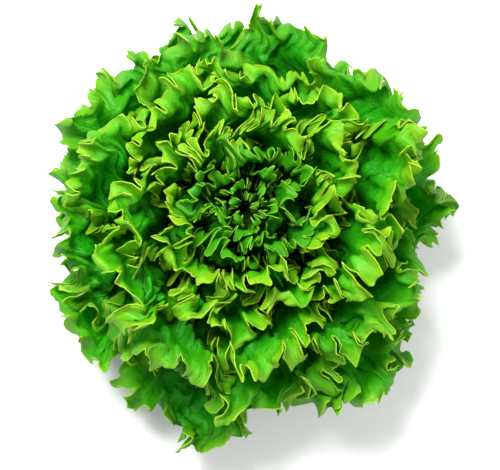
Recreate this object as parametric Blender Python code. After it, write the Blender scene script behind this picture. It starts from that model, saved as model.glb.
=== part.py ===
# Batavia lettuce head: a short cut stem with frilled leaves set round it in a spiral.
# Lengths below are in millimetres, angles in degrees. The scene itself is in metres, +Z up.
#
# The leaves are nested. Every leaf lies in its own layer between the heart and the outside,
# and its frill stays within that layer, so no leaf passes through another.

import math

import bpy
import numpy as np
from mathutils.bvhtree import BVHTree

MM = 0.001
SEED = 4102

# Stem
STEM_RADIUS = 16.0
STEM_HEIGHT = 66.0
STEM_SIDES = 28
STEM_RINGS = (0.0, 12.0, 24.0, 35.0, 45.0, 53.0, 59.0, 63.0)

# Leaves round the stem
LEAF_COUNT = 58
TURN = 77.96            # from each leaf to the next one out
HALF_WIDTH = 38.0       # a leaf reaches this far to each side
FOOT_WIDTH = 0.8        # share of that width at the stem
FULL_WIDTH_AT = 0.6     # share of the height where a leaf has its whole width
INNERMOST = 0.030       # layers: 0 is the heart, 1 the outside
OUTERMOST = 0.965
FOOT_TOP = 62.0         # height of the innermost leaf's foot
FOOT_DROP = 55.0        # the outermost foot is this much lower
FOOT_GAP = 1.0
LAYER_STEP = (OUTERMOST - INNERMOST) / LEAF_COUNT

FOOT_RISE = 8.0         # a leaf leaves the stem at least this steeply
HANDLES = (0.42, 0.38)  # how straight it leaves the foot and comes to the tip

# Where leaf tips end, from the heart outwards: distance from the middle, height
DOME = ((2, 106), (17, 116), (35, 127), (66, 138), (104, 130), (138, 90), (157, 24))
DOME_FIRST = 0.46       # share of the way along that line that grows evenly
TIP_RISE = (88.0, -14.0)    # how steep the tips are: in the heart, outside
TIP_POWER = 3.0         # how late, going outwards, they lie down

# How far the head reaches at twelve places round it, against its mean
REACH = (0.95, 1.01, 0.98, 0.99, 0.965, 0.945, 1.03, 1.10, 1.03, 1.12, 1.04, 1.055)

REACH_FROM = (25.0, 110.0)      # distances between which this begins to count

# Slow unevenness of the whole head: size, wave length and start for x, y and z
SWAYS = (
    ((5.5, 92.0, 0.3), (5.5, 86.0, 2.1), (5.0, 72.0, 4.0)),
    ((2.0, 62.0, 1.0), (2.0, 66.0, 5.2), (2.5, 54.0, 0.7)),
)
SWAY_FROM = (30.0, 120.0)

# Outline of a leaf
OUTLINE_POINTS = 401
OUTLINE_TURN = 0.485    # half turns from the tip to where the low sides end
AZIMUTH_SPREAD = 1.7    # leaves differ by up to this much, here in degrees
REACH_SPREAD = 0.08     # and in length by this share
EDGE_SPREAD = 0.09      # slow lobing of the outline
EDGE_FROM = (0.3, 0.9)  # shares of the height between which that begins
LEAN_SPREAD = 0.12      # a tip stands to one side by this share of the half width
ROUNDNESS = (2.6, 3.2)  # 2 is an ellipse, more is squarer

# Frill, in layer steps where it says so
FRILLS = (5, 9)         # waves along a leaf's edge: in the heart, further out
CURL = (20.0, 110.0)    # how far a lobe's end turns outwards
BACK = (0.0, 25.0)      # how far a notch turns inwards
CURL_LENGTH = 4.6       # length of the turned part, in layer steps
FOLD = (0.2, 1.2)       # fold that runs down from the edge, in layer steps
FOLD_DEPTH = 16.0       # it dies out this far from the edge
FOLD_POWER = 1.3
FRILL_FROM = (0.10, 0.45)   # shares of the leaf's height between which the frill begins
SET_IN = 0.9            # blade's place in its layer, in layer steps
CRUMPLE = (0.3, 0.6)    # broad waves of the blade, in layer steps
CRUMPLE_FROM = (0.25, 1.0)  # shares of the way from foot to edge between which they begin
TWIST = 0.5             # every leaf's right side lies this far out
LIMIT = 2.1             # a blade's face stays within this many layer steps
CLEARANCE = 0.60        # and this far inside them, in millimetres
HEART_END = 0.45        # the layer where the heart's values have changed to the others
LOBE_SIZE = 0.85        # lobes as shares of the largest ones
LOBE_SPREAD = (0.15, 0.30)  # and how much they differ
SHORT_RAY = 20.0        # shorter ways from foot to edge are not stretched more
LONGEST = 1.09
GROWTH = 0.06           # lobes stand out of the outline by this share of a wave

# Shares of its full frill that a leaf is tried with, until it lies clear of all others
FRILL_SHARES = (1.0, 0.9, 0.8, 0.7, 0.6, 0.5, 0.4, 0.3, 0.2, 0.1)

# Blade
EDGE_THICKNESS = (0.6, 0.7)
FOOT_THICKNESS = (1.2, 2.2)
SWELL = 1.5             # how late it swells towards the foot

# Smooth random lines along the edge: number of sines, slowest and fastest waves
EDGE_WANDER = (3, 0.6, 2.2)
PITCH_WANDER = (3, 0.10, 0.32)
LOBE_WANDER = (3, 0.15, 0.6)
CRUMPLE_WANDER = (3, 0.8, 2.8)
PITCH_SPREAD = 0.5      # how unevenly the waves follow each other

# Rows of a blade, as shares of the way from the edge to the foot. The edge itself has
# a point at each of these places of a wave, and the rows below it one for each wave.
ROWS = (0.0, 0.16, 0.33, 0.52, 0.74)
WAVE_POINTS = (0.0, 0.27, 0.5, 0.73)

ZONES = (("heart", 20), ("middle", 20), ("outer", 18))

COLOURS = {
    "stem": ((0.62, 0.66, 0.38, 1.0), 0.55),
    "heart": ((0.20, 0.46, 0.05, 1.0), 0.5),
    "middle": ((0.13, 0.40, 0.03, 1.0), 0.5),
    "outer": ((0.08, 0.30, 0.03, 1.0), 0.5),
}


def clear_scene():
    for old in list(bpy.data.objects):
        bpy.data.objects.remove(old, do_unlink=True)


def smooth_step(low, high, x):
    """Run from 0 to 1 as x goes from low to high."""
    t = np.clip((x - low) / (high - low), 0, 1)
    return t * t * (3 - 2 * t)


class Wander:
    """A smooth random line of about -1 to 1, made of a few sines."""

    def __init__(self, rng, terms, low, high):
        self.rates = low + (high - low) * (np.arange(terms) + rng.random(terms)) / terms
        self.starts = rng.random(terms)

    def __call__(self, x):
        x = np.asarray(x, dtype=float)[..., None]
        waves = np.sin(2 * np.pi * (self.rates * x + self.starts))
        return waves.sum(-1) / (1.3 * math.sqrt(len(self.rates)))


def stem_radius(z):
    return STEM_RADIUS * np.sqrt(np.clip(1 - (z / STEM_HEIGHT) ** 3, 0, 1))


def heading(angle):
    return np.stack([np.cos(angle), np.sin(angle)], -1)


def dome_table():
    """Points of the tip line, how far along it each one is, and its slopes there."""
    points = np.array(DOME, dtype=float)
    steps = np.linalg.norm(np.diff(points, axis=0), axis=1)
    places = np.concatenate([[0.0], np.cumsum(steps)]) / steps.sum()
    return points, places, np.gradient(points, places, axis=0)


DOME_POINTS, DOME_PLACES, DOME_SLOPES = dome_table()


def dome(share):
    """Distance and height of the leaf tips, a given share of the way outwards."""
    share = np.clip(share, 0, 1.1)
    i = np.searchsorted(DOME_PLACES, share, side="right") - 1
    i = np.clip(i, 0, len(DOME) - 2)
    span = DOME_PLACES[i + 1] - DOME_PLACES[i]
    t = ((share - DOME_PLACES[i]) / span)[..., None]
    span = span[..., None]
    start = (2 * t**3 - 3 * t**2 + 1) * DOME_POINTS[i] + (t**3 - 2 * t**2 + t) * span * DOME_SLOPES[i]
    end = (3 * t**2 - 2 * t**3) * DOME_POINTS[i + 1] + (t**3 - t**2) * span * DOME_SLOPES[i + 1]
    return start + end


def shell(layer, up):
    """Distance from the middle and height, on a layer, from the foot (0) to the tip (1)."""
    layer = np.maximum(np.asarray(layer, dtype=float), 0.0)
    up = np.asarray(up, dtype=float)[..., None]
    tip = dome(DOME_FIRST * layer + (1 - DOME_FIRST) * layer**2)
    foot_z = FOOT_TOP - FOOT_DROP * layer
    foot = np.stack([stem_radius(foot_z) + FOOT_GAP, foot_z], -1)
    slope = stem_radius(foot_z - 0.5) - stem_radius(foot_z + 0.5)
    leave = np.maximum(np.arctan(slope), np.radians(FOOT_RISE))
    arrive = np.radians(TIP_RISE[0] + (TIP_RISE[1] - TIP_RISE[0]) * layer**TIP_POWER)
    length = np.linalg.norm(tip - foot, axis=-1)[..., None]
    second = foot + HANDLES[0] * length * heading(leave)
    third = tip - HANDLES[1] * length * heading(arrive)
    down = 1 - up
    return down**3 * foot + 3 * down**2 * up * second + 3 * down * up**2 * third + up**3 * tip


def step_width(layer, up):
    """Millimetres between two layers that are one layer step apart."""
    small = 0.004
    across = (shell(layer + small, up) - shell(layer - small, up)) / (2 * small)
    along = (shell(layer, up + small) - shell(layer, up - small)) / (2 * small)
    area = np.abs(across[..., 0] * along[..., 1] - across[..., 1] * along[..., 0])
    return area / np.linalg.norm(along, axis=-1) * LAYER_STEP


def head_reach(azimuth):
    """The head's reach at an azimuth, a smooth line near the twelve given values."""
    values = np.array(REACH)
    count = len(values)
    place = azimuth / (2 * np.pi) * count
    i = np.floor(place).astype(int)
    t = place - i
    before, here = values[(i - 1) % count], values[i % count]
    after, beyond = values[(i + 1) % count], values[(i + 2) % count]
    total = (1 - t) ** 3 * before + (3 * t**3 - 6 * t**2 + 4) * here
    total = total + (-3 * t**3 + 3 * t**2 + 3 * t + 1) * after + t**3 * beyond
    return total / 6


def sway(x, y, z):
    """Shift points a little, in slow waves, so the rings of leaves are uneven."""
    fade = smooth_step(*SWAY_FROM, np.hypot(x, y))
    for (ax, wx, px), (ay, wy, py), (az, wz, pz) in SWAYS:
        x = x + ax * fade * np.sin(2 * np.pi * (0.9 * y + 0.5 * z) / wx + px)
        y = y + ay * fade * np.sin(2 * np.pi * (0.9 * x - 0.5 * z) / wy + py)
        z = z + az * fade * np.sin(2 * np.pi * (0.75 * x + 0.65 * y) / wz + pz)
    return np.stack([x, y, z], -1)


def bounded(value, limit):
    """The value, eased so that it never passes the limit."""
    return limit * value / (limit**4 + np.abs(value) ** 4) ** 0.25


class Leaf:
    """One leaf: its layer, its outline and its frill."""

    def __init__(self, index, share):
        self.share = share
        rng = np.random.default_rng(SEED + index)
        self.layer = INNERMOST + (OUTERMOST - INNERMOST) * (index + 0.5) / LEAF_COUNT
        self.azimuth = math.radians(TURN * index + AZIMUTH_SPREAD * rng.uniform(-1, 1))
        self.frills = round(self.between(FRILLS))
        self.reach = 1 + REACH_SPREAD * rng.uniform(-1, 1)
        self.lean = LEAN_SPREAD * rng.uniform(-1, 1)
        self.roundness = rng.uniform(*ROUNDNESS)
        self.edge_line = Wander(rng, *EDGE_WANDER)
        self.pitch = Wander(rng, *PITCH_WANDER)
        self.lobes = Wander(rng, *LOBE_WANDER)
        self.crumple = Wander(rng, *CRUMPLE_WANDER)
        self.make_outline()

    def between(self, pair):
        """A value of this leaf, between the heart's and the one further out."""
        return pair[0] + (pair[1] - pair[0]) * min(self.layer / HEART_END, 1.0)

    def make_outline(self):
        """Trace the outline, measure along it, and measure from the foot out to it."""
        angle = np.linspace(-OUTLINE_TURN, OUTLINE_TURN, OUTLINE_POINTS) * np.pi
        power = 2 / self.roundness
        up = self.reach * np.abs(np.cos(angle)) ** power
        lobing = EDGE_SPREAD * self.edge_line(angle / np.pi)
        self.up = up * (1 + lobing * smooth_step(*EDGE_FROM, up))
        side = np.sign(angle) * np.abs(np.sin(angle)) ** power
        self.side = side + self.lean * (1 - side**2) * self.up
        layer = np.full(OUTLINE_POINTS, self.layer)
        steps = np.linalg.norm(np.diff(self.place(layer, self.side, self.up), axis=0), axis=1)
        along = np.concatenate([[0.0], np.cumsum(steps)])
        self.along = along / along[-1]
        t = np.linspace(0, 1, 41)[:, None]
        rays = self.place(layer + 0 * t, t * self.side, t * self.up)
        self.rays = np.linalg.norm(np.diff(rays, axis=0), axis=2).sum(0)
        self.steps = step_width(layer, self.up)

    def place(self, layer, side, up):
        """World point, in millimetres, of a place on the leaf."""
        flat = shell(layer, up)
        width = FOOT_WIDTH + (1 - FOOT_WIDTH) * smooth_step(0, FULL_WIDTH_AT, up)
        azimuth = self.azimuth + math.radians(HALF_WIDTH) * width * side
        r = flat[..., 0]
        r = r * (1 + (head_reach(azimuth) - 1) * smooth_step(*REACH_FROM, r))
        return sway(r * np.cos(azimuth), r * np.sin(azimuth), flat[..., 1])

    def half_thickness(self, t):
        edge, base = self.between(EDGE_THICKNESS), self.between(FOOT_THICKNESS)
        return 0.5 * (edge + (base - edge) * (1 - t) ** SWELL)

    def wave(self, c):
        """Waves passed since the left end of the outline; whole numbers are notches."""
        x = c * self.frills
        return x + PITCH_SPREAD * self.pitch(x) * np.sin(np.pi * c)

    def column_places(self, shares):
        """Where the blade has its columns: these shares of each wave along the outline."""
        wanted = [wave + share for wave in range(self.frills) for share in shares]
        wanted.append(self.frills)
        fine = np.linspace(0, 1, 2001)
        return np.interp(wanted, self.wave(fine), fine)

    def surface(self, t, c):
        """Points of the blade: t runs from the foot to the edge, c along the outline."""
        edge_up = np.interp(c, self.along, self.up)
        edge_side = np.interp(c, self.along, self.side)
        ray = np.interp(c, self.along, self.rays)
        step = np.interp(c, self.along, self.steps)
        high = smooth_step(*FRILL_FROM, edge_up)
        inset = (1 - t) * ray
        size = 0.5 + 0.5 * np.cos(2 * np.pi * self.wave(c) - np.pi)
        lobe = (LOBE_SIZE + self.between(LOBE_SPREAD) * self.lobes(c * self.frills)) * size
        fold = np.exp(-((inset / FOLD_DEPTH) ** FOLD_POWER)) * high

        # a lobe's end is an arc that turns outwards
        length = CURL_LENGTH * step
        arc = np.clip(length - inset, 0, None)
        bend = np.radians(self.between(CURL) * lobe - self.between(BACK)) * self.share
        turn = bend * high / length
        turn = np.where(np.abs(turn) < 1e-6, 1e-6, turn)
        out = (1 - np.cos(turn * arc)) / turn / step
        drop = arc - np.sin(turn * arc) / turn

        crumple = self.between(CRUMPLE) * self.crumple(c) * smooth_step(*CRUMPLE_FROM, t) * high
        pleat = self.between(FOLD) * (2 * size - 1) * fold
        offset = out + self.share * (pleat + crumple - SET_IN)
        room = (self.half_thickness(t) + CLEARANCE) / step_width(self.layer, t * edge_up)
        offset = bounded(offset, np.maximum(LIMIT - room, 0.1))
        offset = offset + TWIST * edge_side * t
        growth = self.share * GROWTH * self.width_of_wave() * (2 * size - 1) * fold - drop
        t = np.clip(t + growth / np.maximum(ray, SHORT_RAY), 0, LONGEST)
        return self.place(self.layer + offset * LAYER_STEP, t * edge_side, t * edge_up)

    def width_of_wave(self):
        return self.rays.max() * 2 / self.frills


def fan(leaf):
    """Blade as rows of points from the edge to the foot, and its triangles."""
    points, shares, rows = [], [], []
    start = 0
    for away in ROWS:
        places = leaf.column_places(WAVE_POINTS if away == 0 else WAVE_POINTS[:1])
        t = np.full(len(places), 1.0 - away)
        points.append(leaf.surface(t, places))
        shares.append(t)
        rows.append((start, len(places) - 1))
        start += len(places)
    points.append(leaf.surface(np.array([0.0]), np.array([0.5])))
    shares.append(np.array([0.0]))
    triangles = []
    for (outer, outer_count), (inner, inner_count) in zip(rows, rows[1:]):
        triangles += strip(outer, inner, inner_count, outer_count // inner_count)
    last, last_count = rows[-1]
    triangles += [(last + j, last + j + 1, start) for j in range(last_count)]
    return np.vstack(points), np.concatenate(shares), triangles, rows, start


def strip(outer, inner, inner_count, ratio):
    """Triangles between two rows; the outer row has ratio pieces for each inner one."""
    triangles = []
    for j in range(inner_count):
        first = outer + j * ratio
        half = (ratio + j % 2) // 2
        for m in range(ratio):
            triangles.append((first + m, first + m + 1, inner + j + (m >= half)))
        triangles.append((first + half, inner + j + 1, inner + j))
    return triangles


def edge_loop(rows, foot):
    """Points round the blade's border, in order."""
    loop = list(range(rows[0][0], rows[0][0] + rows[0][1] + 1))
    loop += [start + count for start, count in rows[1:]]
    loop.append(foot)
    loop += [start for start, count in reversed(rows[1:])]
    return loop


def point_normals(points, triangles):
    faces = np.array(triangles)
    a, b, c = points[faces[:, 0]], points[faces[:, 1]], points[faces[:, 2]]
    cross = np.cross(b - a, c - a)
    normals = np.zeros_like(points)
    for corner in range(3):
        np.add.at(normals, faces[:, corner], cross)
    return normals / np.linalg.norm(normals, axis=1)[:, None]


def blade_solid(leaf):
    """Closed blade: the fan on both faces, the same on each, and a rim between them."""
    points, shares, triangles, rows, foot = fan(leaf)
    normals = point_normals(points, triangles)
    shift = normals * leaf.half_thickness(shares)[:, None]
    count = len(points)
    solid_points = np.vstack([points + shift, points - shift])
    faces = list(triangles)
    faces += [(a + count, c + count, b + count) for a, b, c in triangles]
    loop = edge_loop(rows, foot)
    for a, b in zip(loop, loop[1:] + loop[:1]):
        faces.append((b, a, a + count))
        faces.append((b, a + count, b + count))
    return solid_points, faces


def crosses(tree, faces, others):
    """Whether a solid passes through itself or through one of the others."""
    if any(tree.overlap(other) for other in others):
        return True
    corners = [set(face) for face in faces]
    return any(not corners[a] & corners[b] for a, b in tree.overlap(tree) if a < b)


def free_blade(index, others):
    """The blade with as much of its frill as leaves it clear of itself and the others."""
    for share in FRILL_SHARES:
        points, faces = blade_solid(Leaf(index, share))
        tree = BVHTree.FromPolygons(points.tolist(), faces)
        if not crosses(tree, faces, others):
            break
    others.append(tree)
    return points, faces


def stem_solid():
    """Turned stem: flat cut below, rounded to a tip above."""
    points = []
    for z in STEM_RINGS:
        for k in range(STEM_SIDES):
            angle = 2 * math.pi * k / STEM_SIDES
            r = float(stem_radius(z))
            points.append((r * math.cos(angle), r * math.sin(angle), z))
    bottom, top = len(points), len(points) + 1
    points += [(0.0, 0.0, 0.0), (0.0, 0.0, STEM_HEIGHT)]
    faces = []
    last = (len(STEM_RINGS) - 1) * STEM_SIDES
    for k in range(STEM_SIDES):
        after = (k + 1) % STEM_SIDES
        faces.append((bottom, after, k))
        faces.append((last + k, last + after, top))
        for ring in range(len(STEM_RINGS) - 1):
            low = ring * STEM_SIDES
            high = low + STEM_SIDES
            faces.append((low + k, low + after, high + after))
            faces.append((low + k, high + after, high + k))
    return np.array(points), faces


def material(name, key):
    colour, roughness = COLOURS[key]
    made = bpy.data.materials.new(name)
    made.use_nodes = True
    shader = made.node_tree.nodes["Principled BSDF"]
    shader.inputs["Base Color"].default_value = colour
    shader.inputs["Roughness"].default_value = roughness
    shader.inputs["Metallic"].default_value = 0.0
    return made


def add_object(name, key, points, faces):
    mesh = bpy.data.meshes.new(name)
    mesh.from_pydata((points * MM).tolist(), [], [tuple(map(int, face)) for face in faces])
    mesh.materials.append(material(name, key))
    mesh.update()
    bpy.context.scene.collection.objects.link(bpy.data.objects.new(name, mesh))


def build():
    clear_scene()
    points, faces = stem_solid()
    add_object("stem", "stem", points, faces)
    solids = [BVHTree.FromPolygons(points.tolist(), faces)]
    index = 0
    for zone, count in ZONES:
        for number in range(count):
            points, faces = free_blade(index, solids)
            add_object(f"{zone}_leaf_{number + 1:02d}", zone, points, faces)
            index += 1


build()
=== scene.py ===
# Batavia lettuce head: finely frilled leaves and a finished stem over the fixed model,
# with the floor, light and camera. The leaf functions work in millimetres.

import math

import bpy
import numpy as np
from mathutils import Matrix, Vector


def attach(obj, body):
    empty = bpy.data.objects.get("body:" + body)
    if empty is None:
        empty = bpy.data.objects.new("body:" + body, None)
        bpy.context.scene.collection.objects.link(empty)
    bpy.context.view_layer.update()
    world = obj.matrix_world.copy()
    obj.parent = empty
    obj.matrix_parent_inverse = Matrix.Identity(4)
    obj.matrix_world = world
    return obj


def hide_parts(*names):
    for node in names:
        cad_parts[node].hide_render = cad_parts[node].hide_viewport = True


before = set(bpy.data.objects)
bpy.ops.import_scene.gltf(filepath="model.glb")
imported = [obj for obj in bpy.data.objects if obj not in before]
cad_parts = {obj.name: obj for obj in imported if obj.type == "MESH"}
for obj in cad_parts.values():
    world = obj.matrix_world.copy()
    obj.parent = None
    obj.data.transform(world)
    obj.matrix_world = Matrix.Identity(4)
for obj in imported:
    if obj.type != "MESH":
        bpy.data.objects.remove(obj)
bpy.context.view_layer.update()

MM = 0.001
SEED = 4102

# Stem
STEM_RADIUS = 16.0
STEM_HEIGHT = 66.0
STEM_SIDES = 96
STEM_RINGS = 44
STEM_LOBES = (3, 5, 8, 13)
STEM_DRAWS = 18
STEM_LOBE_DEPTH = 0.014
SCAR_HEIGHT = 5.5
SCAR_WIDTH = 1.4
SCAR_DEPTH = 0.35
CUT_RINGS = (0.12, 0.94, 8)
CUT_EDGE = 0.5
RING_RADIUS = 11.5

# Leaves round the stem, laid out as in the model
LEAF_COUNT = 58
TURN = 77.96
HALF_WIDTH = 38.0
FOOT_WIDTH = 0.8
FULL_WIDTH_AT = 0.6
INNERMOST = 0.030
OUTERMOST = 0.965
FOOT_TOP = 62.0
FOOT_DROP = 55.0
FOOT_GAP = 1.0
LAYER_STEP = (OUTERMOST - INNERMOST) / LEAF_COUNT
FOOT_RISE = 8.0
HANDLES = (0.42, 0.38)
DOME = ((2, 106), (17, 116), (35, 127), (66, 138), (104, 130), (138, 90), (157, 24))
DOME_FIRST = 0.46
TIP_RISE = (88.0, -14.0)
TIP_POWER = 3.0
REACH = (0.95, 1.01, 0.98, 0.99, 0.965, 0.945, 1.03, 1.10, 1.03, 1.12, 1.04, 1.055)
REACH_FROM = (25.0, 110.0)
SWAYS = (
    ((5.5, 92.0, 0.3), (5.5, 86.0, 2.1), (5.0, 72.0, 4.0)),
    ((2.0, 62.0, 1.0), (2.0, 66.0, 5.2), (2.5, 54.0, 0.7)),
)
SWAY_FROM = (30.0, 120.0)
SWAY_HEADINGS = ((0.9, 0.5), (0.75, 0.65))
OUTLINE_POINTS = 401
OUTLINE_TURN = 0.485
AZIMUTH_SPREAD = 1.7
REACH_SPREAD = 0.08
EDGE_SPREAD = 0.09
EDGE_FROM = (0.3, 0.9)
LEAN_SPREAD = 0.12
ROUNDNESS = (2.6, 3.2)
EDGE_WANDER = (3, 0.6, 2.2)
ZONES = (("heart", 20), ("middle", 20), ("outer", 18))

# A finer unevenness, which only the finished leaves have
FINE_SWAYS = (
    ((4.4, 39.0, 0.9), (4.4, 35.0, 3.3), (4.2, 32.0, 5.1)),
    ((2.4, 23.0, 2.0), (2.4, 21.0, 0.2), (2.2, 19.0, 4.4)),
)
FINE_SWAY_FROM = (6.0, 30.0)

# Frill. Sizes across the leaf are in millimetres, depths of folds in layer steps, turns in degrees
FRILL_FROM = (0.10, 0.45)
WAVE_SIZE = (7.5, 28.0, 0.9)
PITCH_WANDER = 0.65
DRIFT = 0.5
DRIFT_RATES = (0.43, 0.6)
DRIFT_FULL_AT = 1.5
LOBE_HEIGHT = 0.85
VARY = 0.45
WIDTH_WANDER = 0.45
FOLD = 1.1
FOLD_DEPTH = 0.5
FOLD_POWER = 1.3
CURL = 185.0
CURL_VARY = 0.35
LEAST_TURN = 1e-6
BREADTH = 0.70
BACK = 35.0
CURL_LENGTH = 3.8
SET_IN = 1.2
OVERHANG = 0.22
OVERHANG_RANGE = (0.8, 0.4)
RUFFLE = 0.55
RUFFLE_RANGE = (0.9, 0.5)
RUFFLE_WANDER = 0.4
RUFFLE_SHIFT = 0.1
RUFFLES_PER_WAVE = 2.7
CORNER_ROUNDING = 0.01
CORNER_POWER = 0.4
FADE_POWER = 1.5
LOW_WAVES = 0.6
LOW_WAVES_FROM = (0.25, 1)
CRUMPLE = 0.75
CRUMPLE_FROM = (0.3, 0.7)
CREASE_TOTAL = 2.2
CRUMPLE_SIZE = (9.0, 14.0)
CREASES = 6
CREASE_RATES = (0.7, 1.4)
LEAST_WAVES = 4
LEAST_RAY = 20.0
LONGEST_RAY = 1.09
ADVANCE = 0.14
ADVANCE_SHARES = (0.5, 0.7)
TOOTH = 0.15
NICK_SIZE = 4.6
NICK_DEPTH = 2.4
NICK_REACH = 2.5
NICK_WANDER = 0.8
NICK_POWER = 0.8
NICK_RANGE = (0.6, 0.5)
TWIST = 0.5
LIMIT = 2.45
LEAST_LIMIT = 0.3
LEAST_STEP = 0.3
EDGE_THICKNESS = 0.6
FOOT_THICKNESS = 1.8
THICKENING = 1.5

# Leaf colours: the edge line, the margin, the face, and a darker green that is painted shade on the covered
# inner part of each leaf, also used for blotches
LEAF_COLOURS = {
    "heart": ((0.32, 0.60, 0.04), (0.075, 0.37, 0.004), (0.016, 0.26, 0.002), (0.001, 0.17, 0.001)),
    "middle": ((0.58, 0.70, 0.06), (0.34, 0.57, 0.014), (0.080, 0.44, 0.001), (0.004, 0.29, 0.001)),
    "outer": ((0.58, 0.70, 0.06), (0.22, 0.47, 0.010), (0.050, 0.34, 0.001), (0.004, 0.29, 0.001)),
}

SPECULAR = 0.32
ROUGHNESS = (0.42, 0.58)
STEM_ROUGHNESS = (0.42, 0.66)
TRANSLUCENT_SHARE = 0.42
GLOW_COLOUR = (0.04, 0.80, 0.002)
VEIN_COLOUR = (0.16, 0.50, 0.02)
RIB_COLOUR = (0.36, 0.60, 0.13)
TONE_COLOUR = (0.10, 0.46, 0.004)
BUMP_DISTANCE = 0.0013
VEIN_SPACING = 11.0
MARGIN_SPAN = 40.0

# Light and camera: metres, watts and degrees
LIGHTS = (("key", (-0.35, 0.45, 1.25), 0.6, 40), ("fill", (0.8, -0.5, 1.0), 0.8, 9))
LIGHT_TARGET = (0, 0, 0.06)
WORLD_STRENGTH = 0.52
FLOOR_HALF = 3.0
FLOOR_COLOUR = (0.86, 0.86, 0.86, 1)
FLOOR_ROUGHNESS = 0.8
CAMERA_TARGET = (0.0022, -0.0122, 0.055)
CAMERA_RISE = 80
CAMERA_DISTANCE = 1.3
CAMERA_WIDTH = 0.370
SENSOR_WIDTH = 36

# Rows of the mesh from the edge to the foot
ROWS = (0.0, 0.006, 0.014, 0.025, 0.04, 0.058, 0.08, 0.105, 0.13, 0.155,
        0.18, 0.21, 0.24, 0.27, 0.305, 0.34, 0.38, 0.42, 0.47, 0.53, 0.60, 0.68, 0.77, 0.86, 0.94)
ROW_SHARES = (1,) * 5 + (2,) * 8 + (4,) * 6 + (8,) * 4 + (16,) * 2


def smooth_step(low, high, x):
    t = np.clip((x - low) / (high - low), 0, 1)
    return t * t * (3 - 2 * t)


class Wander:
    """A smooth random line of about -1 to 1, made of a few sines."""

    def __init__(self, rng, terms, low, high):
        self.rates = low + (high - low) * (np.arange(terms) + rng.random(terms)) / terms
        self.starts = rng.random(terms)

    def __call__(self, x):
        x = np.asarray(x, dtype=float)[..., None]
        waves = np.sin(2 * np.pi * (self.rates * x + self.starts))
        return waves.sum(-1) / (1.3 * math.sqrt(len(self.rates)))


def stem_radius(z):
    return STEM_RADIUS * np.sqrt(np.clip(1 - (z / STEM_HEIGHT) ** 3, 0, 1))


def heading(angle):
    return np.stack([np.cos(angle), np.sin(angle)], -1)


def dome_table():
    points = np.array(DOME, dtype=float)
    steps = np.linalg.norm(np.diff(points, axis=0), axis=1)
    places = np.concatenate([[0.0], np.cumsum(steps)]) / steps.sum()
    return points, places, np.gradient(points, places, axis=0)


DOME_POINTS, DOME_PLACES, DOME_SLOPES = dome_table()


def dome(share):
    """Distance and height of the leaf tips, a given share of the way outwards."""
    share = np.clip(share, 0, 1.1)
    i = np.searchsorted(DOME_PLACES, share, side="right") - 1
    i = np.clip(i, 0, len(DOME) - 2)
    span = DOME_PLACES[i + 1] - DOME_PLACES[i]
    t = ((share - DOME_PLACES[i]) / span)[..., None]
    span = span[..., None]
    start = (2 * t**3 - 3 * t**2 + 1) * DOME_POINTS[i] + (t**3 - 2 * t**2 + t) * span * DOME_SLOPES[i]
    end = (3 * t**2 - 2 * t**3) * DOME_POINTS[i + 1] + (t**3 - t**2) * span * DOME_SLOPES[i + 1]
    return start + end


def shell(layer, up):
    """Distance from the middle and height, on a layer, from the foot (0) to the tip (1)."""
    layer = np.maximum(np.asarray(layer, dtype=float), 0.0)
    up = np.asarray(up, dtype=float)[..., None]
    tip = dome(DOME_FIRST * layer + (1 - DOME_FIRST) * layer**2)
    foot_z = FOOT_TOP - FOOT_DROP * layer
    foot = np.stack([stem_radius(foot_z) + FOOT_GAP, foot_z], -1)
    slope = stem_radius(foot_z - 0.5) - stem_radius(foot_z + 0.5)
    leave = np.maximum(np.arctan(slope), np.radians(FOOT_RISE))
    arrive = np.radians(TIP_RISE[0] + (TIP_RISE[1] - TIP_RISE[0]) * layer**TIP_POWER)
    length = np.linalg.norm(tip - foot, axis=-1)[..., None]
    second = foot + HANDLES[0] * length * heading(leave)
    third = tip - HANDLES[1] * length * heading(arrive)
    down = 1 - up
    return down**3 * foot + 3 * down**2 * up * second + 3 * down * up**2 * third + up**3 * tip


def step_width(layer, up):
    """Millimetres between two layers that are one layer step apart."""
    small = 0.004
    across = (shell(layer + small, up) - shell(layer - small, up)) / (2 * small)
    along = (shell(layer, up + small) - shell(layer, up - small)) / (2 * small)
    area = np.abs(across[..., 0] * along[..., 1] - across[..., 1] * along[..., 0])
    return area / np.linalg.norm(along, axis=-1) * LAYER_STEP


def head_reach(azimuth):
    """The head's reach at an azimuth, a smooth line near the twelve given values."""
    values = np.array(REACH)
    count = len(values)
    place = azimuth / (2 * np.pi) * count
    i = np.floor(place).astype(int)
    t = place - i
    before, here = values[(i - 1) % count], values[i % count]
    after, beyond = values[(i + 1) % count], values[(i + 2) % count]
    total = (1 - t) ** 3 * before + (3 * t**3 - 6 * t**2 + 4) * here
    total = total + (-3 * t**3 + 3 * t**2 + 3 * t + 1) * after + t**3 * beyond
    return total / 6


def sway(x, y, z, sways, first, last):
    """Shift points in slow waves, one direction after the other, so the shift itself makes nothing cross."""
    fade = smooth_step(first, last, np.hypot(x, y))
    (level, steep), (right, back) = SWAY_HEADINGS
    for (ax, wx, px), (ay, wy, py), (az, wz, pz) in sways:
        x = x + ax * fade * np.sin(2 * np.pi * (level * y + steep * z) / wx + px)
        y = y + ay * fade * np.sin(2 * np.pi * (level * x - steep * z) / wy + py)
        z = z + az * fade * np.sin(2 * np.pi * (right * x + back * y) / wz + pz)
    return x, y, z


def bounded(value, limit):
    return limit * value / (limit**4 + np.abs(value) ** 4) ** 0.25


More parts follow.
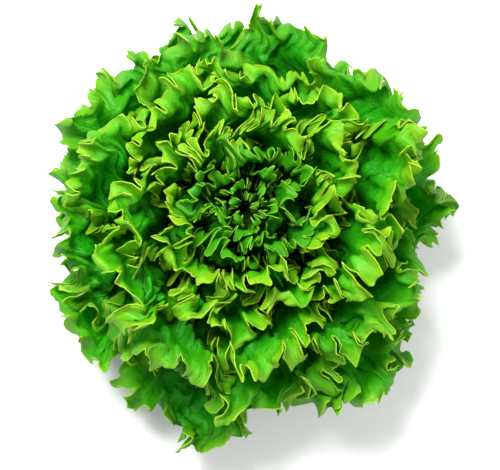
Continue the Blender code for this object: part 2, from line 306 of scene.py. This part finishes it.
class Leaf:
    """One leaf: the model's layer and outline, with a finer frill."""

    def __init__(self, index):
        rng = np.random.default_rng(SEED + index)
        self.layer = INNERMOST + (OUTERMOST - INNERMOST) * (index + 0.5) / LEAF_COUNT
        self.azimuth = math.radians(TURN * index + AZIMUTH_SPREAD * rng.uniform(-1, 1))
        self.reach = 1 + REACH_SPREAD * rng.uniform(-1, 1)
        self.lean = LEAN_SPREAD * rng.uniform(-1, 1)
        self.roundness = rng.uniform(*ROUNDNESS)
        self.edge_line = Wander(rng, *EDGE_WANDER)
        own = np.random.default_rng(SEED + 1000 + index)
        self.pitch = Wander(own, 3, 0.10, 0.32)
        self.lobes = Wander(own, 3, 0.15, 0.6)
        self.advances = Wander(own, 3, 0.15, 0.7)
        self.overhangs = Wander(own, 2, 0.1, 0.4)
        self.low_waves = Wander(own, 3, 0.8, 2.8)
        self.fine_pitch = Wander(own, 4, 0.06, 0.30)
        self.fine_lobes = Wander(own, 3, 0.12, 0.5)
        self.widths = Wander(own, 3, 0.2, 0.7)
        self.curls = Wander(own, 3, 0.2, 0.8)
        self.start = own.random()
        self.tone = own.random()
        self.creases = [
            (own.uniform(0, 2 * np.pi), own.uniform(*CREASE_RATES), own.random())
            for _ in range(CREASES)
        ]
        self.nicks = Wander(own, 4, 0.05, 0.25)
        self.nick_sizes = Wander(own, 3, 0.1, 0.4)
        self.make_outline()

    def make_outline(self):
        angle = np.linspace(-OUTLINE_TURN, OUTLINE_TURN, OUTLINE_POINTS) * np.pi
        power = 2 / self.roundness
        up = self.reach * np.abs(np.cos(angle)) ** power
        lobing = EDGE_SPREAD * self.edge_line(angle / np.pi)
        self.up = up * (1 + lobing * smooth_step(*EDGE_FROM, up))
        side = np.sign(angle) * np.abs(np.sin(angle)) ** power
        self.side = side + self.lean * (1 - side**2) * self.up
        layer = np.full(OUTLINE_POINTS, self.layer)
        steps = np.linalg.norm(np.diff(self.place(layer, self.side, self.up), axis=0), axis=1)
        self.along = np.concatenate([[0.0], np.cumsum(steps)])
        self.width = self.along[-1]
        size, growth, power = WAVE_SIZE
        self.waves = max(LEAST_WAVES, round(self.width / (size + growth * self.layer**power)))
        self.size = self.width / self.waves
        t = np.linspace(0, 1, 41)[:, None]
        rays = self.place(layer + 0 * t, t * self.side, t * self.up)
        self.rays = np.linalg.norm(np.diff(rays, axis=0), axis=2).sum(0)
        self.steps = step_width(layer, self.up)

    def place(self, layer, side, up):
        """World point, in millimetres, of a place on the leaf."""
        flat = shell(layer, up)
        width = FOOT_WIDTH + (1 - FOOT_WIDTH) * smooth_step(0, FULL_WIDTH_AT, up)
        azimuth = self.azimuth + math.radians(HALF_WIDTH) * width * side
        r = flat[..., 0]
        r = r * (1 + (head_reach(azimuth) - 1) * smooth_step(*REACH_FROM, r))
        x, y, z = sway(r * np.cos(azimuth), r * np.sin(azimuth), flat[..., 1], SWAYS, *SWAY_FROM)
        return np.stack(sway(x, y, z, FINE_SWAYS, *FINE_SWAY_FROM), -1)

    def half_thickness(self, t):
        return 0.5 * (EDGE_THICKNESS + (FOOT_THICKNESS - EDGE_THICKNESS) * (1 - t) ** THICKENING)

    def surface(self, t, c):
        """Points of the blade: t runs from the foot to the edge, c along the outline."""
        w = c * self.width
        high = smooth_step(*FRILL_FROM, np.interp(w, self.along, self.up))
        ray = np.interp(w, self.along, self.rays)
        step = np.interp(w, self.along, self.steps)
        side = np.interp(w, self.along, self.side)
        inset = (1 - t) * ray

        # lobes and notches
        wave = c * self.waves
        phase = 2 * np.pi * (wave + PITCH_WANDER * self.pitch(wave) * np.sin(np.pi * c))
        along_rate, inward_rate = DRIFT_RATES
        drift = np.sin(2 * np.pi * (along_rate * wave + inward_rate * inset / self.size + self.start))
        phase = phase + DRIFT * drift * smooth_step(0, DRIFT_FULL_AT, inset / self.size)
        height = LOBE_HEIGHT + VARY * self.lobes(wave)
        uneven = phase + WIDTH_WANDER * self.widths(wave) * np.cos(phase)
        broad = (0.5 + 0.5 * np.sin(uneven)) ** BREADTH
        lobe = 2 * broad - 1
        fold = np.exp(-((inset / (FOLD_DEPTH * self.size)) ** FOLD_POWER)) * high
        out = broad * height

        # a lobe's end is an arc that turns outwards
        length = CURL_LENGTH * step
        arc = np.clip(length - inset, 0, None)
        curl = CURL * (1 + CURL_VARY * self.curls(wave))
        turn = np.radians(curl * out - BACK) * high / length
        turn = np.where(np.abs(turn) < LEAST_TURN, LEAST_TURN, turn)
        outwards = (1 - np.cos(turn * arc)) / turn / step
        drop = arc - np.sin(turn * arc) / turn

        # small ruffles with sharp outward corners
        ruffle_size = self.size / RUFFLES_PER_WAVE
        ruffle = w / ruffle_size
        ruffle_phase = 2 * np.pi * (ruffle + RUFFLE_WANDER * self.fine_pitch(ruffle))
        ruffle_fold = np.exp(-((inset / ruffle_size) ** FADE_POWER)) * high
        middle, spread = RUFFLE_RANGE
        ruffle_height = RUFFLE * (middle + spread * self.fine_lobes(ruffle))
        corner = 1 - 2 * (np.sin(ruffle_phase / 2) ** 2 + CORNER_ROUNDING) ** CORNER_POWER

        # fine pointed nicks along the edge
        number = w / NICK_SIZE
        nick = 1 - 2 * np.abs(np.sin(np.pi * (number + NICK_WANDER * self.nicks(number)))) ** NICK_POWER
        middle, spread = NICK_RANGE
        nick = nick * (middle + spread * self.nick_sizes(number))
        nick = nick * np.exp(-((inset / NICK_REACH) ** FADE_POWER)) * high

        # creases in the blade
        crease_size = CRUMPLE_SIZE[0] + CRUMPLE_SIZE[1] * self.layer
        across = (w - self.width / 2) * t
        creases = 0
        for angle, rate, begin in self.creases:
            turns = rate * (math.cos(angle) * across + math.sin(angle) * inset) / crease_size
            creases = creases + np.sin(2 * np.pi * (turns + begin))

        # how far the blade leaves its layer, within a limit
        offset = FOLD * height * lobe * fold + outwards + ruffle_height * corner * ruffle_fold - SET_IN
        offset = offset + LOW_WAVES * self.low_waves(c) * smooth_step(*LOW_WAVES_FROM, t) * high
        offset = offset + CRUMPLE * creases / CREASE_TOTAL * smooth_step(*CRUMPLE_FROM, t) * high
        room = self.half_thickness(t) / np.maximum(step_width(self.layer, t * high), LEAST_STEP)
        offset = bounded(offset, np.maximum(LIMIT - room, LEAST_LIMIT)) + TWIST * side * t

        # how far points move along the edge and out past it
        near = np.clip(arc / length, 0, 1) * high
        middle, spread = OVERHANG_RANGE
        overhang = middle + spread * self.overhangs(wave)
        shift = -self.size * near * OVERHANG * overhang * np.cos(phase) * out
        shift = shift + RUFFLE_SHIFT * ruffle_size * np.sin(ruffle_phase) * ruffle_fold
        lobe_share, free_share = ADVANCE_SHARES
        advance = lobe_share * lobe * height + free_share * self.advances(wave)
        grow = ADVANCE * self.size * advance * fold
        grow = grow + TOOTH * ruffle_size * corner * ruffle_fold + NICK_DEPTH * nick - drop
        w = np.clip(w + shift, 0, self.width)
        t = np.clip(t + grow / np.maximum(ray, LEAST_RAY), 0, LONGEST_RAY)
        side = np.interp(w, self.along, self.side)
        up = np.interp(w, self.along, self.up)
        return self.place(self.layer + offset * LAYER_STEP, t * side, t * up)


def strip(outer, inner, outer_count, inner_count):
    """Triangles between two rows of a blade."""
    ratio = outer_count // inner_count
    triangles = []
    for j in range(inner_count):
        first = outer + j * ratio
        half = (ratio + j % 2) // 2
        for m in range(ratio):
            triangles.append((first + m, first + m + 1, inner + j + (m >= half)))
        triangles.append((first + half, inner + j + 1, inner + j))
    return triangles


def fan(leaf):
    """A blade as rows of points from the edge to the foot, and its triangles."""
    columns = 16 * int(np.clip(math.ceil(leaf.width / 13), 8, 24))
    points, shares, places, rows = [], [], [], []
    start = 0
    for away, share in zip(ROWS, ROW_SHARES):
        c = np.linspace(0, 1, columns // share + 1)
        t = np.full(len(c), 1.0 - away)
        points.append(leaf.surface(t, c))
        shares.append(t)
        places.append(c)
        rows.append((start, len(c) - 1))
        start += len(c)
    points.append(leaf.surface(np.array([0.0]), np.array([0.5])))
    shares.append(np.array([0.0]))
    places.append(np.array([0.5]))
    triangles = []
    for (outer, outer_count), (inner, inner_count) in zip(rows, rows[1:]):
        triangles += strip(outer, inner, outer_count, inner_count)
    last, last_count = rows[-1]
    triangles += [(last + j, last + j + 1, start) for j in range(last_count)]
    loop = list(range(rows[0][0], rows[0][0] + rows[0][1] + 1))
    loop += [first + count for first, count in rows[1:]]
    loop.append(start)
    loop += [first for first, count in reversed(rows[1:])]
    return np.vstack(points), np.concatenate(shares), np.concatenate(places), triangles, loop


def point_normals(points, triangles):
    faces = np.array(triangles)
    a, b, c = points[faces[:, 0]], points[faces[:, 1]], points[faces[:, 2]]
    cross = np.cross(b - a, c - a)
    normals = np.zeros_like(points)
    for corner in range(3):
        np.add.at(normals, faces[:, corner], cross)
    return normals / np.maximum(np.linalg.norm(normals, axis=1), 1e-12)[:, None]


def add_attribute(mesh, name, values):
    layer = mesh.attributes.new(name, "FLOAT", "POINT")
    layer.data.foreach_set("value", np.asarray(values, dtype=np.float32))


def make_piece(name, points, faces, smooth, material):
    mesh = bpy.data.meshes.new(name)
    mesh.from_pydata((points * MM).tolist(), [], faces)
    mesh.polygons.foreach_set("use_smooth", smooth)
    mesh.materials.append(material)
    piece = bpy.data.objects.new(name, mesh)
    bpy.context.scene.collection.objects.link(piece)
    return piece


def make_leaf(name, leaf, material):
    """Closed blade with a thin rim, and the attributes that its material reads."""
    points, shares, places, triangles, loop = fan(leaf)
    shift = point_normals(points, triangles) * leaf.half_thickness(shares)[:, None]
    count = len(points)
    faces = list(triangles)
    faces += [(a + count, c + count, b + count) for a, b, c in triangles]
    rim = []
    for a, b in zip(loop, loop[1:] + loop[:1]):
        rim.append((b, a, a + count))
        rim.append((b, a + count, b + count))
    smooth = [True] * len(faces) + [False] * len(rim)
    piece = make_piece(name, np.vstack([points + shift, points - shift]), faces + rim, smooth, material)
    w = places * leaf.width
    ray = np.interp(w, leaf.along, leaf.rays)
    add_attribute(piece.data, "inset", np.tile((1 - shares) * ray, 2))
    add_attribute(piece.data, "along", np.tile(w + 100 * leaf.tone, 2))
    add_attribute(piece.data, "across", np.tile((places - 0.5) * leaf.width * shares, 2))
    add_attribute(piece.data, "share", np.tile(shares, 2))
    add_attribute(piece.data, "tone", np.full(2 * count, leaf.tone))
    return piece


class Nodes:
    """Short calls for building a material."""

    def __init__(self, name):
        self.material = bpy.data.materials.new(name)
        self.material.use_nodes = True
        self.tree = self.material.node_tree
        self.shader = self.tree.nodes["Principled BSDF"]
        self.output = self.tree.nodes["Material Output"]

    def link(self, source, target):
        self.tree.links.new(source, target)

    def put(self, socket, value):
        if isinstance(value, bpy.types.NodeSocket):
            self.link(value, socket)
        else:
            socket.default_value = value

    def attribute(self, name):
        node = self.tree.nodes.new("ShaderNodeAttribute")
        node.attribute_name = name
        return node.outputs["Fac"]

    def math(self, operation, a, b=0.0, c=0.0):
        node = self.tree.nodes.new("ShaderNodeMath")
        node.operation = operation
        for socket, value in zip(node.inputs, (a, b, c)):
            self.put(socket, value)
        return node.outputs[0]

    def spread(self, value, low, high, to_low=0.0, to_high=1.0):
        node = self.tree.nodes.new("ShaderNodeMapRange")
        node.interpolation_type = "SMOOTHSTEP"
        for socket, given in zip(node.inputs, (value, low, high, to_low, to_high)):
            self.put(socket, given)
        return node.outputs[0]

    def vector(self, x, y, z=0.0):
        node = self.tree.nodes.new("ShaderNodeCombineXYZ")
        for socket, value in zip(node.inputs, (x, y, z)):
            self.put(socket, value)
        return node.outputs[0]

    def noise(self, vector, scale, detail=2.0):
        node = self.tree.nodes.new("ShaderNodeTexNoise")
        self.link(vector, node.inputs["Vector"])
        node.inputs["Scale"].default_value = scale
        node.inputs["Detail"].default_value = detail
        return node.outputs["Fac"]

    def cells(self, vector, scale):
        node = self.tree.nodes.new("ShaderNodeTexVoronoi")
        node.feature = "DISTANCE_TO_EDGE"
        self.link(vector, node.inputs["Vector"])
        node.inputs["Scale"].default_value = scale
        return node.outputs["Distance"]

    def ramp(self, value, stops):
        node = self.tree.nodes.new("ShaderNodeValToRGB")
        self.link(value, node.inputs[0])
        elements = node.color_ramp.elements
        while len(elements) < len(stops):
            elements.new(0.5)
        for element, (place, colour) in zip(elements, stops):
            element.position = place
            element.color = (*colour, 1.0)
        return node.outputs["Color"]

    def mix(self, factor, a, b, kind="MIX"):
        node = self.tree.nodes.new("ShaderNodeMix")
        node.data_type = "RGBA"
        node.blend_type = kind
        colours = [s for s in node.inputs if s.type == "RGBA"]
        factors = [s for s in node.inputs if s.type == "VALUE"]
        self.put(factors[0], factor)
        self.put(colours[0], a if isinstance(a, bpy.types.NodeSocket) else (*a, 1.0))
        self.put(colours[1], b if isinstance(b, bpy.types.NodeSocket) else (*b, 1.0))
        return [s for s in node.outputs if s.type == "RGBA"][0]

    def bump(self, height, distance, strength=1.0):
        node = self.tree.nodes.new("ShaderNodeBump")
        node.inputs["Strength"].default_value = strength
        node.inputs["Distance"].default_value = distance
        self.link(height, node.inputs["Height"])
        self.link(node.outputs["Normal"], self.shader.inputs["Normal"])
        return node.outputs["Normal"]


def leaf_material(name, edge, margin, face, painted_shade_and_blotch):
    """Pale edge line, bright margin, darker blade with painted shade on its covered inner part, veins,
    blisters and a pale midrib.
    """
    n = Nodes(name)
    inset, along = n.attribute("inset"), n.attribute("along")
    across, share, tone = n.attribute("across"), n.attribute("share"), n.attribute("tone")
    here = n.vector(across, inset, n.math("MULTIPLY", tone, 50.0))

    wobble = n.noise(here, 0.09, 3.0)
    vein_place = n.math("ADD", n.math("MULTIPLY", along, 1 / VEIN_SPACING), n.math("MULTIPLY", wobble, 1.6))
    vein = n.spread(n.math("PINGPONG", vein_place, 0.5), 0.0, 0.10, 1.0, 0.0)
    net = n.spread(n.cells(here, 0.22), 0.0, 0.10, 1.0, 0.0)
    veins = n.math("MAXIMUM", vein, n.math("MULTIPLY", net, 0.6))
    blister = n.noise(here, 0.16, 2.0)

    ragged = n.math("ADD", inset, n.math("MULTIPLY", n.math("SUBTRACT", wobble, 0.5), 3.0))
    # margin, then face, then a darker green with distance from the edge: the darkest stop is painted shade
    # on the covered inner part of the leaf
    base = n.ramp(n.math("MULTIPLY", ragged, 1 / MARGIN_SPAN), (
        (0.0, margin),
        (0.11, tuple(0.6 * a + 0.4 * b for a, b in zip(margin, face))),
        (0.30, face),
        (0.80, painted_shade_and_blotch),
    ))
    rib = n.spread(n.math("ABSOLUTE", across), 1.5, 9.0, 1.0, 0.0)
    rib = n.math("MULTIPLY", rib, n.spread(share, 0.1, 0.65, 1.0, 0.0))
    low = n.math("MAXIMUM", rib, n.spread(share, 0.0, 0.25, 1.0, 0.0))
    colour = n.mix(n.math("MULTIPLY", veins, 0.20), base, VEIN_COLOUR)
    # blister blotches borrow the painted shade green as uneven tone
    colour = n.mix(n.spread(blister, 0.35, 0.75, 0.0, 0.35), colour, painted_shade_and_blotch)
    colour = n.mix(n.math("MULTIPLY", tone, 0.15), colour, TONE_COLOUR)
    colour = n.mix(n.math("MULTIPLY", low, 0.85), colour, RIB_COLOUR)
    line = n.spread(ragged, 0.2, 1.1, 1.0, 0.0)
    line = n.math("MULTIPLY", line, n.spread(share, 0.90, 0.97))
    colour = n.mix(n.math("MULTIPLY", line, 0.5), colour, edge)
    n.link(colour, n.shader.inputs["Base Color"])

    n.link(n.spread(wobble, 0.3, 0.7, *ROUGHNESS), n.shader.inputs["Roughness"])
    n.shader.inputs["Specular IOR Level"].default_value = SPECULAR
    height = n.math("SUBTRACT", n.math("MULTIPLY", blister, 1.4), n.math("MULTIPLY", veins, 0.25))
    normal = n.bump(height, BUMP_DISTANCE, 0.8)
    glow = n.tree.nodes.new("ShaderNodeBsdfTranslucent")
    n.link(n.mix(0.5, colour, GLOW_COLOUR), glow.inputs["Color"])
    n.link(normal, glow.inputs["Normal"])
    both = n.tree.nodes.new("ShaderNodeMixShader")
    both.inputs[0].default_value = TRANSLUCENT_SHARE
    n.link(n.shader.outputs[0], both.inputs[1])
    n.link(glow.outputs[0], both.inputs[2])
    n.link(both.outputs[0], n.output.inputs["Surface"])
    return n.material


def stem_material():
    """Pale green-white stem with fibres, darkening to deep green towards the top as painted shade under the
    leaves, and a cut face with a ring and browned patches.
    """
    n = Nodes("stem_flesh")
    radius, height = n.attribute("radius"), n.attribute("height")
    round_it = n.attribute("round")
    place = n.vector(round_it, n.math("MULTIPLY", height, 0.25), radius)
    fibre = n.noise(place, 0.9, 4.0)
    patch = n.noise(n.vector(round_it, height, radius), 0.15, 3.0)
    # side colour by height: pale near the cut; the dark green towards the top is painted shade inside the
    # head, under the leaves
    side = n.ramp(n.math("MULTIPLY", height, 1 / STEM_HEIGHT), (
        (0.0, (0.62, 0.60, 0.36)),
        (0.15, (0.60, 0.66, 0.38)),
        (0.5, (0.36, 0.50, 0.14)),
        (0.8, (0.01, 0.14, 0.002)),
    ))
    side = n.mix(n.spread(fibre, 0.35, 0.7, 0.0, 0.30), side, (0.30, 0.40, 0.12))
    from_ring = n.math("ABSOLUTE", n.math("SUBTRACT", radius, RING_RADIUS))
    ring = n.math("MULTIPLY", n.spread(from_ring, 0.3, 1.6, 1.0, 0.0), 0.5)
    cut = n.mix(ring, (0.70, 0.64, 0.42), (0.46, 0.34, 0.16))
    cut = n.mix(n.spread(patch, 0.5, 0.75, 0.0, 0.7), cut, (0.42, 0.26, 0.11))
    face = n.spread(height, 0.05, 0.6, 1.0, 0.0)
    n.link(n.mix(face, side, cut), n.shader.inputs["Base Color"])
    n.link(n.spread(fibre, 0.3, 0.7, *STEM_ROUGHNESS), n.shader.inputs["Roughness"])
    n.bump(fibre, 0.0008, 0.7)
    return n.material


def make_stem(material):
    """Turned stem with low ribs and a ring of leaf scars near the cut."""
    rng = np.random.default_rng(SEED + 5000)
    turn = np.arange(STEM_SIDES) / STEM_SIDES
    # the low ribs start at the last of the draws
    starts = rng.random(STEM_DRAWS)[-len(STEM_LOBES):]
    lobes = [np.sin(2 * np.pi * (rate * turn + start)) for rate, start in zip(STEM_LOBES, starts)]
    wave = sum(lobes) / len(STEM_LOBES)
    points, rings = [], []
    inner = [(r, 0.0) for r in np.linspace(*CUT_RINGS)]
    rise = np.linspace(0, 1, STEM_RINGS) ** 1.1
    outer = [(1.0, z) for z in CUT_EDGE + (STEM_HEIGHT - 1.5) * rise]
    for share, z in inner + outer:
        scars = SCAR_DEPTH * np.exp(-((z - SCAR_HEIGHT) / SCAR_WIDTH) ** 2) if share == 1.0 else 0.0
        r = float(stem_radius(z)) * share * (1 + STEM_LOBE_DEPTH * wave * min(1.0, z / 3)) - scars
        lift = 0.0 if share < 1.0 else z
        radii = np.broadcast_to(r, STEM_SIDES)
        rings.append(len(points))
        points += [(a * math.cos(b), a * math.sin(b), lift) for a, b in zip(radii, 2 * np.pi * turn)]
    bottom, top = len(points), len(points) + 1
    points += [(0.0, 0.0, 0.0), (0.0, 0.0, STEM_HEIGHT)]
    faces = []
    for k in range(STEM_SIDES):
        after = (k + 1) % STEM_SIDES
        faces.append((bottom, rings[0] + after, rings[0] + k))
        faces.append((rings[-1] + k, rings[-1] + after, top))
        for low, high in zip(rings, rings[1:]):
            faces.append((low + k, low + after, high + after, high + k))
    points = np.array(points)
    piece = make_piece("stem_finished", points, faces, [True] * len(faces), material)
    add_attribute(piece.data, "radius", np.hypot(points[:, 0], points[:, 1]))
    add_attribute(piece.data, "height", points[:, 2])
    turned = np.arctan2(points[:, 1], points[:, 0])
    add_attribute(piece.data, "round", 16 * np.abs(turned))
    return piece


def build_head():
    materials = {
        zone: leaf_material(f"{zone}_leaf_finished", *colours) for zone, colours in LEAF_COLOURS.items()
    }
    stem = make_stem(stem_material())
    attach(stem, "root")
    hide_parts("stem")
    index = 0
    for zone, count in ZONES:
        for number in range(count):
            node = f"{zone}_leaf_{number + 1:02d}"
            piece = make_leaf(node + "_finished", Leaf(index), materials[zone])
            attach(piece, "root")
            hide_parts(node)
            index += 1


def add_floor():
    mesh = bpy.data.meshes.new("floor")
    half = FLOOR_HALF
    corners = [(-half, -half, 0), (half, -half, 0), (half, half, 0), (-half, half, 0)]
    mesh.from_pydata(corners, [], [(0, 1, 2, 3)])
    floor = bpy.data.objects.new("floor", mesh)
    bpy.context.scene.collection.objects.link(floor)
    n = Nodes("floor_paint")
    n.shader.inputs["Base Color"].default_value = FLOOR_COLOUR
    n.shader.inputs["Roughness"].default_value = FLOOR_ROUGHNESS
    mesh.materials.append(n.material)


def aim(thing, target):
    thing.rotation_euler = (target - thing.location).to_track_quat("-Z", "Y").to_euler()


def add_light(name, place, size, power):
    lamp = bpy.data.lights.new(name, "AREA")
    lamp.size = size
    lamp.energy = power
    light = bpy.data.objects.new(name, lamp)
    bpy.context.scene.collection.objects.link(light)
    light.location = place
    aim(light, Vector(LIGHT_TARGET))


def add_world():
    world = bpy.data.worlds.new("studio")
    world.use_nodes = True
    background = world.node_tree.nodes["Background"]
    background.inputs["Color"].default_value = (1, 1, 1, 1)
    background.inputs["Strength"].default_value = WORLD_STRENGTH
    bpy.context.scene.world = world


def add_camera():
    camera = bpy.data.cameras.new("camera")
    view = bpy.data.objects.new("camera", camera)
    bpy.context.scene.collection.objects.link(view)
    bpy.context.scene.camera = view
    target = Vector(CAMERA_TARGET)
    rise = math.radians(CAMERA_RISE)
    view.location = target + CAMERA_DISTANCE * Vector((0, -math.cos(rise), math.sin(rise)))
    aim(view, target)
    camera.sensor_width = SENSOR_WIDTH
    camera.lens = SENSOR_WIDTH * CAMERA_DISTANCE / CAMERA_WIDTH


build_head()
add_floor()
for name, place, size, power in LIGHTS:
    add_light(name, place, size, power)
add_world()
add_camera()
bpy.context.scene.view_settings.view_transform = "Standard"
